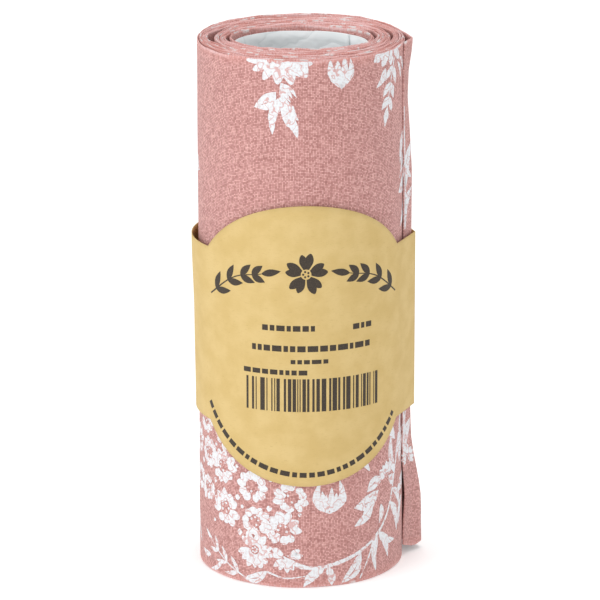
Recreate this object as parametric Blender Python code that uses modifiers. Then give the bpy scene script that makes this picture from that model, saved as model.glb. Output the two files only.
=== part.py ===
"""A roll of printed cotton ribbon, wound on a rolled card core and held by a paper label band.

Metres, +Z up. The roll stands on z = 0 with its label at the front, towards -Y, and its loose
end at the right, towards +X. Angles run anticlockwise from +X, seen from above. Every sheet of
the object is a flat grid that is bent into place and then given its thickness.
"""

import math

import bmesh
import bpy
from mathutils import Matrix, Vector

# The ribbon, laid flat.
STRIP_LENGTH = 3.0
STRIP_WIDTH = 0.150
CLOTH_THICKNESS = 0.00024

# The winding. Its hollow is oval, and one turn builds it up by LAYER_PITCH on average.
HOLLOW_HALF_WIDTH = 0.0192
HOLLOW_HALF_DEPTH = 0.0158
LAYER_PITCH = 0.000545
COLUMNS_PER_TURN = 30

# Where the turns part into loose packs: (middle angle, half spread, share of the spare room).
OUTER_GAPS = ((172.0, 42.0, 0.50), (14.0, 34.0, 0.26))
INNER_GAPS = ((178.0, 40.0, 0.24), (18.0, 34.0, 0.33))
INNER_PACK_TURNS = 2
MIDDLE_PACK_TURNS = 10
SEAM_ANGLE = 270.0

# The loose end. It leaves the roll, stands off it along a crease and comes back to it.
LAST_ROUND_ANGLE = 72.0
LOOSE_LENGTH = 0.0432
# How far the crease stands off the roll, at shares of the strip's width from its base.
CREASE_LIFTS = (
    (0.00, 0.0050),
    (0.07, 0.0054),
    (0.26, 0.0020),
    (0.35, 0.0016),
    (0.63, 0.0017),
    (0.71, 0.0021),
    (0.83, 0.0011),
    (0.91, 0.0003),
    (1.00, 0.0018),
)
CREASE_ANGLE = -1.5
CREASE_SWING = 14.5
CREASE_SWING_HEIGHT = 0.045
CORNER_RISE = 0.0036
CORNER_ROUND_HEIGHT = 0.030
ROUND_COLUMNS = 5
STRAIGHT_COLUMNS = 4
RETURN_COLUMNS = 4
LOOSE_ROWS = 15

# The card core, a sheet rolled so that its edge laps over its start.
CORE_CLEARANCE = 0.0004
CARD_THICKNESS = 0.0003
CORE_RECESS = 0.0016
CORE_BASE_GAP = 0.0004
CORE_LAP_ANGLE = 40.0
CORE_LAP_GAP = 0.0003
CORE_EDGE_ANGLE = 36.0
CORE_COLUMN_ANGLE = 8.0

# The paper band, a straight strip with a round lobe at the front.
BAND_WIDTH = 0.050
BAND_BASE = 0.045
LOBE_DIAMETER = 0.080
LOBE_TURN = 2.5
PAPER_THICKNESS = 0.00025
BAND_CLEARANCE = 0.00035
BAND_SLACK = 0.0003
BAND_SLACK_ANGLE = 180.0
BAND_SLACK_SPREAD = 75.0
BAND_LAP_ANGLE = 30.0
BAND_COLUMN_ANGLE = 5.0

# The glue between the band's lapped ends.
GLUE_THICKNESS = 0.0001
GLUE_WIDTH_ANGLE = 16.0
GLUE_MARGIN = 0.004
GLUE_GAP = 0.0003

COTTON_PINK = (0.62, 0.31, 0.28, 1.0)
CARD_WHITE = (0.72, 0.74, 0.74, 1.0)
KRAFT_BROWN = (0.66, 0.48, 0.24, 1.0)
GLUE_AMBER = (0.80, 0.72, 0.50, 1.0)

WOUND_SECTION = (STRIP_LENGTH - LOOSE_LENGTH) * LAYER_PITCH
ROLL_RADIUS = math.sqrt(WOUND_SECTION / math.pi + HOLLOW_HALF_WIDTH * HOLLOW_HALF_DEPTH)
MEAN_HOLLOW = (HOLLOW_HALF_WIDTH + HOLLOW_HALF_DEPTH) / 2
WOUND_COLUMNS = round((ROLL_RADIUS - MEAN_HOLLOW) / LAYER_PITCH * COLUMNS_PER_TURN)
COLUMN_ANGLE = 360.0 / COLUMNS_PER_TURN
BAND_TOP = BAND_BASE + BAND_WIDTH
BAND_LAP_MIDDLE = CREASE_ANGLE + 90.0
BAND_LAP_STEP = PAPER_THICKNESS + GLUE_THICKNESS + 2 * GLUE_GAP
LOOSE_COLUMNS = ROUND_COLUMNS + STRAIGHT_COLUMNS + RETURN_COLUMNS
LOOSE_RADIUS = ROLL_RADIUS + CLOTH_THICKNESS


def smooth(value):
    """Ease from 0 to 1 as value does, flat at both ends."""
    value = min(max(value, 0.0), 1.0)
    return value * value * (3.0 - 2.0 * value)


def angle_between(first, second):
    """The turn from second to first in degrees, between -180 and 180."""
    return (first - second + 180.0) % 360.0 - 180.0


def hump(angle, middle, spread):
    """A smooth rise to 1 at middle that is 0 from spread degrees away."""
    away = abs(angle_between(angle, middle)) / spread
    return math.cos(min(away, 1.0) * math.pi / 2) ** 2


def through(points, position):
    """Ease from point to point of a list of (position, value)."""
    for (start, before), (end, after) in zip(points, points[1:]):
        if position <= end:
            return before + (after - before) * smooth((position - start) / (end - start))
    return points[-1][1]


def polar(radius, angle, height):
    turn = math.radians(angle)
    return Vector((radius * math.cos(turn), radius * math.sin(turn), height))


def hollow_radius(angle):
    """The distance from the axis to the edge of the oval hollow."""
    turn = math.radians(angle)
    across = math.cos(turn) / HOLLOW_HALF_WIDTH
    along = math.sin(turn) / HOLLOW_HALF_DEPTH
    return 1.0 / math.hypot(across, along)


def winding_radius(column):
    """The distance from the axis to the middle of the cloth at a column of the winding."""
    angle = winding_angle(column)
    ring = ROLL_RADIUS - hollow_radius(angle)
    spare = ring - (WOUND_COLUMNS / COLUMNS_PER_TURN + 1) * CLOTH_THICKNESS
    outer_gap = spare * sum(part * hump(angle, middle, spread) for middle, spread, part in OUTER_GAPS)
    inner_gap = spare * sum(part * hump(angle, middle, spread) for middle, spread, part in INNER_GAPS)
    packed = (ring - outer_gap - inner_gap) * column / WOUND_COLUMNS
    past_seam = (winding_angle(0) - SEAM_ANGLE) % 360.0
    turn = (column * COLUMN_ANGLE - past_seam) // 360.0 + 1
    radius = hollow_radius(angle) + packed
    if turn >= INNER_PACK_TURNS:
        radius += inner_gap
    if turn >= INNER_PACK_TURNS + MIDDLE_PACK_TURNS:
        radius += outer_gap
    return radius


def winding_angle(column):
    """The winding runs clockwise and ends at LAST_ROUND_ANGLE."""
    return LAST_ROUND_ANGLE + (WOUND_COLUMNS - column) * COLUMN_ANGLE


def crease_radius(height):
    return LOOSE_RADIUS + through(CREASE_LIFTS, height / STRIP_WIDTH)


def crease_angle(height):
    return CREASE_ANGLE + CREASE_SWING * (1.0 - smooth(height / CREASE_SWING_HEIGHT))


def row_heights():
    """The heights of the loose end's rows of corners."""
    return [STRIP_WIDTH * row / LOOSE_ROWS for row in range(LOOSE_ROWS + 1)]


def loose_point(column, height):
    """Where the cloth is at a column past the winding's last one and a height.

    It follows the roll until the line to the crease leaves it, goes straight to the crease,
    and comes straight back towards the roll for what is left of its length.
    """
    middle = crease_angle(height)
    reach = math.degrees(math.acos(LOOSE_RADIUS / crease_radius(height)))
    straight = LOOSE_RADIUS * math.tan(math.radians(reach))
    leaving_angle = middle + reach
    around = math.radians(LAST_ROUND_ANGLE - leaving_angle) * LOOSE_RADIUS
    crease = polar(crease_radius(height), middle, height)
    if column <= ROUND_COLUMNS:
        share = column / ROUND_COLUMNS
        angle = LAST_ROUND_ANGLE + (leaving_angle - LAST_ROUND_ANGLE) * share
        return polar(ROLL_RADIUS + CLOTH_THICKNESS * share, angle, height)
    if column <= ROUND_COLUMNS + STRAIGHT_COLUMNS:
        leaving = polar(LOOSE_RADIUS, leaving_angle, height)
        return leaving.lerp(crease, (column - ROUND_COLUMNS) / STRAIGHT_COLUMNS)
    share = (column - ROUND_COLUMNS - STRAIGHT_COLUMNS) / RETURN_COLUMNS
    past = (LOOSE_LENGTH - around - straight) * share
    touching = polar(LOOSE_RADIUS, middle - reach, height)
    lift = CORNER_RISE * share * (1.0 - smooth(height / CORNER_ROUND_HEIGHT))
    if past > straight:
        angle = middle - reach - math.degrees((past - straight) / LOOSE_RADIUS)
        return polar(LOOSE_RADIUS, angle, height + lift)
    return crease.lerp(touching, past / straight) + Vector((0.0, 0.0, lift))


def band_radius(angle, past_lap):
    """The distance from the axis to the middle of the band's paper.

    The band lies on a round roll with a little slack at the left, and passes straight over the
    crease of the loose end. past_lap is how far its outer end has climbed over its inner end.
    """
    round_radius = LOOSE_RADIUS + CLOTH_THICKNESS / 2 + BAND_CLEARANCE + PAPER_THICKNESS / 2
    round_radius += BAND_SLACK * hump(angle, BAND_SLACK_ANGLE, BAND_SLACK_SPREAD)
    highest = max(crease_radius(height) for height in row_heights() if height >= BAND_BASE)
    corner = highest + CLOTH_THICKNESS + BAND_CLEARANCE + PAPER_THICKNESS / 2
    reach = math.degrees(math.acos(round_radius / corner))
    away = abs(angle_between(angle, CREASE_ANGLE))
    contour = round_radius / math.cos(math.radians(max(reach - away, 0.0)))
    return contour + BAND_LAP_STEP * smooth(past_lap)


def band_point(share, side):
    """Where the band's edge is: share runs from its inner end to its outer end, side is -1 or 1."""
    start = BAND_LAP_MIDDLE + BAND_LAP_ANGLE / 2
    angle = start - share * (360.0 + BAND_LAP_ANGLE)
    past_lap = (share * (360.0 + BAND_LAP_ANGLE) - (360.0 - BAND_LAP_ANGLE)) / BAND_LAP_ANGLE
    radius = band_radius(angle, past_lap)
    from_lobe = math.radians(angle_between(angle, SEAM_ANGLE + LOBE_TURN)) * radius
    lobe = LOBE_DIAMETER / 2
    half = BAND_WIDTH / 2
    if abs(from_lobe) < lobe:
        half = max(half, math.sqrt(lobe**2 - from_lobe**2))
    return polar(radius, angle, (BAND_BASE + BAND_TOP) / 2 + side * half)


def glue_point(share, side):
    angle = BAND_LAP_MIDDLE + (0.5 - share) * GLUE_WIDTH_ANGLE
    radius = band_radius(angle, 0.0) + BAND_LAP_STEP / 2
    half = BAND_WIDTH / 2 - GLUE_MARGIN
    return polar(radius, angle, (BAND_BASE + BAND_TOP) / 2 + side * half)


def core_point(share, side):
    """The card runs clockwise from its outer start, and its last stretch laps inside the first."""
    sweep = 360.0 + CORE_LAP_ANGLE
    swept = share * sweep
    angle = CORE_EDGE_ANGLE + sweep - swept
    sunk = smooth((swept - sweep + 2 * CORE_LAP_ANGLE) / CORE_LAP_ANGLE)
    inside = CLOTH_THICKNESS / 2 + CORE_CLEARANCE + CARD_THICKNESS / 2
    radius = hollow_radius(angle) - inside - (CARD_THICKNESS + CORE_LAP_GAP) * sunk
    height = STRIP_WIDTH - CORE_RECESS - CORE_BASE_GAP
    return polar(radius, angle, CORE_BASE_GAP + height * (1 + side) / 2)


def clear_scene():
    for existing in list(bpy.data.objects):
        bpy.data.objects.remove(existing, do_unlink=True)


def new_collection(name):
    collection = bpy.data.collections.new(name)
    bpy.context.scene.collection.children.link(collection)
    return collection


def new_material(name, colour, roughness):
    material = bpy.data.materials.new(name)
    material.use_nodes = True
    shader = material.node_tree.nodes["Principled BSDF"]
    shader.inputs["Base Color"].default_value = colour
    shader.inputs["Roughness"].default_value = roughness
    shader.inputs["Metallic"].default_value = 0.0
    return material


def new_axis(name, collection, location):
    """An empty on the roll's axis, which is also the line that the moving pieces slide along."""
    axis = bpy.data.objects.new(name, None)
    axis.location = location
    axis.empty_display_size = ROLL_RADIUS
    collection.objects.link(axis)
    return axis


def sheet_object(name, bm, thickness, material, collection, parent):
    """An open surface given its thickness, half to each side, and shaded smooth."""
    bmesh.ops.recalc_face_normals(bm, faces=bm.faces)
    mesh = bpy.data.meshes.new(name)
    bm.to_mesh(mesh)
    bm.free()
    mesh.materials.append(material)
    sheet = bpy.data.objects.new(name, mesh)
    collection.objects.link(sheet)
    sheet.parent = parent
    solidify = sheet.modifiers.new("Thickness", "SOLIDIFY")
    solidify.thickness = thickness
    solidify.offset = 0.0
    solidify.use_even_offset = True
    mesh.shade_smooth()
    mesh.set_sharp_from_angle(angle=math.radians(30.0))
    return sheet


def unit_grid(columns):
    """A flat grid from 0 to 1 along X, with one row of faces from -1 to 1 along Y."""
    bm = bmesh.new()
    unit = Matrix.Translation((0.5, 0.0, 0.0)) @ Matrix.Diagonal((0.5, 1.0, 1.0, 1.0))
    bmesh.ops.create_grid(bm, x_segments=columns, y_segments=1, size=1.0, matrix=unit)
    return bm


def bent_sheet(columns, point):
    """A grid whose every corner is moved to point(share of the length, side)."""
    bm = unit_grid(columns)
    for vertex in bm.verts:
        vertex.co = point(vertex.co.x, vertex.co.y)
    return bm


def strip_sheet():
    """The ribbon: a flat grid with more rows in its loose end, then wound up."""
    columns = WOUND_COLUMNS + LOOSE_COLUMNS
    bm = unit_grid(columns)
    first_loose = (WOUND_COLUMNS + 0.5) / columns
    upright = [
        edge
        for edge in bm.edges
        if edge.verts[0].co.x > first_loose and abs(edge.verts[0].co.x - edge.verts[1].co.x) < 0.5 / columns
    ]
    bmesh.ops.subdivide_edges(bm, edges=upright, cuts=LOOSE_ROWS - 1, use_grid_fill=True)
    for vertex in bm.verts:
        column = vertex.co.x * columns
        height = (1.0 + vertex.co.y) / 2 * STRIP_WIDTH
        if column < WOUND_COLUMNS + 0.5:
            nearest = round(column)
            vertex.co = polar(winding_radius(nearest), winding_angle(nearest), height)
        else:
            vertex.co = loose_point(round(column - WOUND_COLUMNS), height)
    return bm


def axis_place():
    """The axis stands off the origin, which is under the middle of the object's box."""
    right = max(crease_radius(z) * math.cos(math.radians(crease_angle(z))) for z in row_heights())
    left = band_radius(BAND_SLACK_ANGLE, 0.0)
    front = band_radius(SEAM_ANGLE, 0.0)
    back = band_radius(BAND_LAP_MIDDLE, 1.0)
    return (left - right) / 2, (front - back) / 2, 0.0


def build():
    clear_scene()
    parts = new_collection("fabric_bolt")
    axis = new_axis("roll_axis", parts, axis_place())
    sheet_object(
        "fabric_strip",
        strip_sheet(),
        CLOTH_THICKNESS,
        new_material("cotton", COTTON_PINK, 0.95),
        parts,
        axis,
    )
    sheet_object(
        "core_card",
        bent_sheet(round((360.0 + CORE_LAP_ANGLE) / CORE_COLUMN_ANGLE), core_point),
        CARD_THICKNESS,
        new_material("white_card", CARD_WHITE, 0.75),
        parts,
        axis,
    )
    sheet_object(
        "label_band",
        bent_sheet(round((360.0 + BAND_LAP_ANGLE) / BAND_COLUMN_ANGLE), band_point),
        PAPER_THICKNESS,
        new_material("kraft_paper", KRAFT_BROWN, 0.8),
        parts,
        axis,
    )
    sheet_object(
        "band_glue",
        bent_sheet(4, glue_point),
        GLUE_THICKNESS,
        new_material("dry_glue", GLUE_AMBER, 0.4),
        parts,
        axis,
    )


build()
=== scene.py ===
"""The looks of a roll of printed cotton ribbon with its paper label band, built around its frame.

Metres, +Z up, in the frame's own axes. Angles are degrees anticlockwise from +X, seen from above,
and the label is at the front, towards -Y. Each sheet has a path, which says where a flat point of
its cloth, card or paper lies on the roll, and its mesh and its print are both laid along that path.
"""

import bisect
import logging
import math
import random
from dataclasses import dataclass, field
from enum import Enum
from typing import Callable, Iterable, Sequence

import bmesh
import bpy
import numpy as np
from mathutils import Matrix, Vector, noise


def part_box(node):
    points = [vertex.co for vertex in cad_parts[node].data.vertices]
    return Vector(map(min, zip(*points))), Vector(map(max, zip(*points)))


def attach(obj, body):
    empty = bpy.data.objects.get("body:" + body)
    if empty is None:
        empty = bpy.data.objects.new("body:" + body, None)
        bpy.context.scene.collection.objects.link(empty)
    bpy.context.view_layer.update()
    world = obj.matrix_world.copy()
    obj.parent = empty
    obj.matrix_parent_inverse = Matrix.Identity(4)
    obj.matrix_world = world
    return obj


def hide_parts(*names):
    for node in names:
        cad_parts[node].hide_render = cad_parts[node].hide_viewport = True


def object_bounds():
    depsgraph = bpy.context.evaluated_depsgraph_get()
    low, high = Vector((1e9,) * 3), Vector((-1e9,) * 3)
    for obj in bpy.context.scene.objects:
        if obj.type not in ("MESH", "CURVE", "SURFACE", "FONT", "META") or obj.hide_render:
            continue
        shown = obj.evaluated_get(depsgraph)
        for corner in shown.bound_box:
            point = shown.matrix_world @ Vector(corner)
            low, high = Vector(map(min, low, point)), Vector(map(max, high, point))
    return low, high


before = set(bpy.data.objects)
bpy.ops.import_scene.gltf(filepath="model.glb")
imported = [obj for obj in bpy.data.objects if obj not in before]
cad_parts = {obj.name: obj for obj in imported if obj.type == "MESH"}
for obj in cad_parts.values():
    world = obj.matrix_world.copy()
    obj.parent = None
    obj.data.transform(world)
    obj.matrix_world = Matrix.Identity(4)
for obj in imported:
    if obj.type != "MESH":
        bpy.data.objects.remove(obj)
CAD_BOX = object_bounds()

MM = 0.001
FRONT = 270.0
CLOTH_MAP = "cloth"

Point = tuple[float, float]
Colour = tuple[float, float, float]
Place = Callable[[float, float, float], Vector]

log = logging.getLogger("fabric_bolt")


class Body(Enum):
    """The frame's bodies, which the pieces ride on."""

    ROLL = "roll"
    CORE = "core"
    BAND = "band"


class Slot(Enum):
    """The record's material slots."""

    COTTON = "cotton"
    CARD = "white_card"
    KRAFT = "kraft_paper"
    GLUE = "dry_glue"


class Outline(Enum):
    """How wide a printed stroke is along its length, as a share of its greatest half width."""

    LEAF = "leaf"
    PETAL = "petal"
    STEM = "stem"
    BAR = "bar"

    def half_width(self, share: float) -> float:
        """The half width at a share of the stroke's length.

        Args:
            share: From 0 at the stroke's start to 1 at its end.

        Returns:
            From a small share at a pointed end to 1 at the widest place.
        """
        if self is Outline.LEAF:
            return max(math.sin(math.pi * share**0.85) ** 0.9, 0.04)
        if self is Outline.PETAL:
            fullness = math.sin(math.pi * (0.10 + 0.87 * share**1.25)) ** 0.7
            return max(fullness, 0.22 * (1.0 - share), 0.05)
        if self is Outline.STEM:
            return 1.0 - 0.45 * share
        return 1.0


def smooth(value: float) -> float:
    """Ease from 0 to 1 as value does, flat at both ends."""
    value = min(max(value, 0.0), 1.0)
    return value * value * (3.0 - 2.0 * value)


def angle_between(first: float, second: float) -> float:
    """The turn from second to first in degrees, between -180 and 180."""
    return (first - second + 180.0) % 360.0 - 180.0


def hump(angle: float, middle: float, spread: float) -> float:
    """A smooth rise to 1 at the middle angle that is 0 from spread degrees away.

    Args:
        angle: Where the rise is wanted.
        middle: Where it is greatest.
        spread: How far from there it has gone.

    Returns:
        From 0 to 1.
    """
    away = abs(angle_between(angle, middle)) / spread
    return math.cos(min(away, 1.0) * math.pi / 2) ** 2


def through(points: Sequence[Point], position: float) -> float:
    """Ease from point to point of a list of (position, value).

    Args:
        points: The positions, rising, each with its value.
        position: Where the value is wanted.

    Returns:
        The value there, which is the last point's value past the end.
    """
    for (start, before), (end, after) in zip(points, points[1:]):
        if position <= end:
            return before + (after - before) * smooth((position - start) / (end - start))
    return points[-1][1]


def polar(radius: float, angle: float, height: float) -> Vector:
    """The point at a distance and an angle from the axis, at a height."""
    turn = math.radians(angle)
    return Vector((radius * math.cos(turn), radius * math.sin(turn), height))


def wander(seed: float, position: float, fineness: float) -> float:
    """Smooth noise between about -1 and 1 along a line, different for each seed."""
    return noise.noise(Vector((position * fineness, seed, 0.37)))


@dataclass(frozen=True)
class Gap:
    """A place where the wound turns part into a loose inner and a loose outer pack.

    The turns are counted from opposite the gap, where it is shut.
    """

    after_turns: int
    middle: float
    spread: float
    share: float


@dataclass(frozen=True)
class RibbonPath:
    """The line that the ribbon follows from its start at the hollow to its loose end.

    A place along it is a number of turns. The winding ends at total_turns, and the loose end
    goes on from there at the rate of the outermost turn.
    """

    width: float
    axis: Vector
    length: float = 3.0
    hollow_half_width: float = 19.2 * MM
    hollow_half_depth: float = 15.8 * MM
    layer_pitch: float = 0.545 * MM
    columns_per_turn: int = 30
    least_cloth: float = 0.24 * MM
    fullest_cloth: float = 0.44 * MM
    cloth_share: float = 0.86
    last_round_angle: float = 72.0
    loose_length: float = 43.2 * MM
    fold_softness: float = 1.1 * MM
    crease_angle: float = -1.5
    crease_swing: float = 11.5
    crease_swing_height: float = 45.0 * MM
    corner_rise: float = 3.6 * MM
    corner_round_height: float = 30.0 * MM
    tip_rise: float = 1.9 * MM
    tip_reach: float = 3.2 * MM
    tuck: float = 0.42 * MM
    foot_tuck: float = 1.3 * MM
    tucked_on: float = 0.08 * MM
    wobble: float = 0.13 * MM
    wobbles_round: float = 2.2
    wobbles_up: float = 34.0
    tangent_step: float = 0.0012
    gaps: tuple[Gap, ...] = (
        Gap(2, 178.0, 40.0, 0.24),
        Gap(2, 18.0, 34.0, 0.33),
        Gap(12, 172.0, 42.0, 0.50),
        Gap(12, 14.0, 34.0, 0.26),
        Gap(12, 232.0, 30.0, 0.07),
        Gap(20, 205.0, 40.0, 0.09),
        Gap(18, 262.0, 78.0, 0.055),
        Gap(15, 288.0, 66.0, 0.040),
        Gap(6, 256.0, 70.0, 0.035),
        Gap(16, 96.0, 72.0, 0.040),
        Gap(9, 76.0, 60.0, 0.035),
        Gap(4, 110.0, 64.0, 0.030),
        Gap(8, 172.0, 34.0, 0.030),
        Gap(17, 350.0, 40.0, 0.045),
    )
    crease_lifts: tuple[Point, ...] = (
        (0.00, 6.0 * MM),
        (0.08, 5.6 * MM),
        (0.26, 2.0 * MM),
        (0.35, 1.6 * MM),
        (0.63, 1.7 * MM),
        (0.71, 2.1 * MM),
        (0.83, 1.1 * MM),
        (0.91, 0.3 * MM),
        (1.00, 1.8 * MM),
    )

    @property
    def roll_radius(self) -> float:
        """The distance from the axis to the middle of the outermost turn."""
        section = (self.length - self.loose_length) * self.layer_pitch
        return math.sqrt(section / math.pi + self.hollow_half_width * self.hollow_half_depth)

    @property
    def loose_radius(self) -> float:
        """The distance from the axis to the loose end where it lies on the roll."""
        return self.roll_radius + self.least_cloth

    @property
    def total_turns(self) -> float:
        """The winding, counted in whole columns of its mesh.

        Returns:
            How many turns are wound before the loose end.
        """
        mean_hollow = (self.hollow_half_width + self.hollow_half_depth) / 2
        ring = self.roll_radius - mean_hollow
        return round(ring / self.layer_pitch * self.columns_per_turn) / self.columns_per_turn

    @property
    def front_to_end(self) -> float:
        """The distance along the outermost turn from its front to the winding's end."""
        return math.radians(FRONT - self.last_round_angle) * self.roll_radius

    def hollow_radius(self, angle: float) -> float:
        """The distance from the axis to the edge of the oval hollow.

        Args:
            angle: The direction from the axis.

        Returns:
            The distance.
        """
        turn = math.radians(angle)
        across = math.cos(turn) / self.hollow_half_width
        along = math.sin(turn) / self.hollow_half_depth
        return 1.0 / math.hypot(across, along)

    def winding_angle(self, turns: float) -> float:
        """The winding runs clockwise and ends at last_round_angle."""
        return self.last_round_angle + (self.total_turns - turns) * 360.0

    def openings(self, angle: float) -> list[float]:
        """How wide each gap stands open at an angle.

        Args:
            angle: The direction from the axis.

        Returns:
            A width for each of the gaps, in their order.
        """
        ring = self.roll_radius - self.hollow_radius(angle)
        spare = ring - (self.total_turns + 1.0) * self.least_cloth
        return [spare * gap.share * hump(angle, gap.middle, gap.spread) for gap in self.gaps]

    def winding_radius(self, turns: float) -> float:
        """The distance from the axis to the middle of the cloth in the winding.

        Args:
            turns: The place along the ribbon.

        Returns:
            The distance, with the gaps that the place has passed.
        """
        angle = self.winding_angle(turns)
        ring = self.roll_radius - self.hollow_radius(angle)
        opened = self.openings(angle)
        radius = self.hollow_radius(angle) + (ring - sum(opened)) * turns / self.total_turns
        for gap, width in zip(self.gaps, opened):
            past_seam = (self.winding_angle(0.0) - gap.middle - 180.0) % 360.0 / 360.0
            if math.floor(turns - past_seam) + 1 >= gap.after_turns:
                radius += width
        return radius

    def cloth_thickness(self, turns: float) -> float:
        """How thick the cloth is, which is pressed thinner where the turns are packed closer.

        Args:
            turns: The place along the ribbon.

        Returns:
            The thickness.
        """
        angle = self.winding_angle(min(turns, self.total_turns))
        ring = self.roll_radius - self.hollow_radius(angle)
        pitch = (ring - sum(self.openings(angle))) / self.total_turns
        return min(max(self.cloth_share * pitch, self.least_cloth), self.fullest_cloth)

    def loose_place(self, past: float, height: float) -> Vector:
        """Where the loose end is at a distance past the winding's end, with a sharp crease.

        It follows the roll until the line to the crease leaves it, goes straight to the crease,
        straight back, and then round the roll again for what is left of its length. Its free edge
        is pressed towards the roll.

        Args:
            past: The distance along the cloth from the winding's end.
            height: The height above the cloth's lower edge.

        Returns:
            The place of the cloth's middle, from the roll's axis.
        """
        crease_radius = self.loose_radius + through(self.crease_lifts, height / self.width)
        swing = 1.0 - smooth(height / self.crease_swing_height)
        middle = self.crease_angle + self.crease_swing * swing
        reach = math.degrees(math.acos(self.loose_radius / crease_radius))
        straight = self.loose_radius * math.tan(math.radians(reach))
        leaving_angle = middle + reach
        around = math.radians(self.last_round_angle - leaving_angle) * self.loose_radius
        crease = polar(crease_radius, middle, height)
        if past <= around:
            share = past / around
            angle = self.last_round_angle + (leaving_angle - self.last_round_angle) * share
            return polar(self.roll_radius + self.least_cloth * share, angle, height)
        to_crease = abs(past - around - straight) / self.tip_reach
        tip = self.tip_rise * (1.0 - smooth(to_crease)) * (1.0 - smooth(height / (3.0 * self.tip_rise)))
        if past <= around + straight:
            leaving = polar(self.loose_radius, leaving_angle, height)
            return leaving.lerp(crease, (past - around) / straight) + Vector((0.0, 0.0, tip))
        back = past - around - straight
        share = back / (self.loose_length - around - straight)
        lift = tip + self.corner_rise * share * (1.0 - smooth(height / self.corner_round_height))
        if back <= straight:
            touching = polar(self.loose_radius, middle - reach, height)
            found = crease.lerp(touching, back / straight)
        else:
            angle = middle - reach - math.degrees((back - straight) / self.loose_radius)
            found = polar(self.loose_radius, angle, height)
        radius = math.hypot(found.x, found.y)
        pull = (self.tuck + self.foot_tuck * swing) * smooth(2.0 * share)
        tucked = max(radius - pull, self.roll_radius + self.tucked_on)
        return Vector((found.x * tucked / radius, found.y * tucked / radius, height + lift))

    def middle(self, turns: float, height: float) -> Vector:
        """Where the cloth's middle is, from the roll's axis.

        Args:
            turns: The place along the ribbon.
            height: The height above the cloth's lower edge.

        Returns:
            The place, with the crease rounded and the surface gently uneven.
        """
        past = (turns - self.total_turns) * math.tau * self.roll_radius
        if past <= 0.0:
            found = polar(self.winding_radius(turns), self.winding_angle(turns), height)
        else:
            steps = (-1.0, -0.6, -0.2, 0.2, 0.6, 1.0)
            near = [min(max(past + step * self.fold_softness, 0.0), self.loose_length) for step in steps]
            near = [past + (place - past) * min(past / self.fold_softness, 1.0) for place in near]
            found = sum((self.loose_place(place, height) for place in near), Vector()) / len(near)
        outward = Vector((found.x, found.y, 0.0)).normalized()
        around = outward * self.wobbles_round
        uneven = noise.noise(Vector((around.x, around.y, height * self.wobbles_up)))
        return found + outward * uneven * self.wobble

    def face(self, turns: float, height: float, outward: float) -> Vector:
        """A point off the cloth's middle, outwards from the roll.

        Args:
            turns: The place along the ribbon.
            height: The height above the cloth's lower edge.
            outward: How far it stands off the middle, in metres.

        Returns:
            The point in the frame.
        """
        before = self.middle(turns - self.tangent_step, height)
        after = self.middle(min(turns + self.tangent_step, self.end), height)
        along = (after - before).normalized()
        normal = Vector((-along.y, along.x, 0.0)).normalized()
        return self.middle(turns, height) + normal * outward + self.axis

    @property
    def end(self) -> float:
        """The place of the free edge, in turns."""
        return self.total_turns + self.loose_length / (math.tau * self.roll_radius)

    def turns_at(self, across: float) -> float:
        """The place on the outermost face at a distance from the front.

        Args:
            across: The distance round the roll, positive to the right of the label's middle.
                Past front_to_end on the left it runs on along the loose end.

        Returns:
            The place in turns.
        """
        if across >= -self.front_to_end:
            angle = FRONT + math.degrees(across / self.roll_radius)
            return self.total_turns - (angle - self.last_round_angle) / 360.0
        past = -across - self.front_to_end
        return self.total_turns + past / (math.tau * self.roll_radius)


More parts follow.
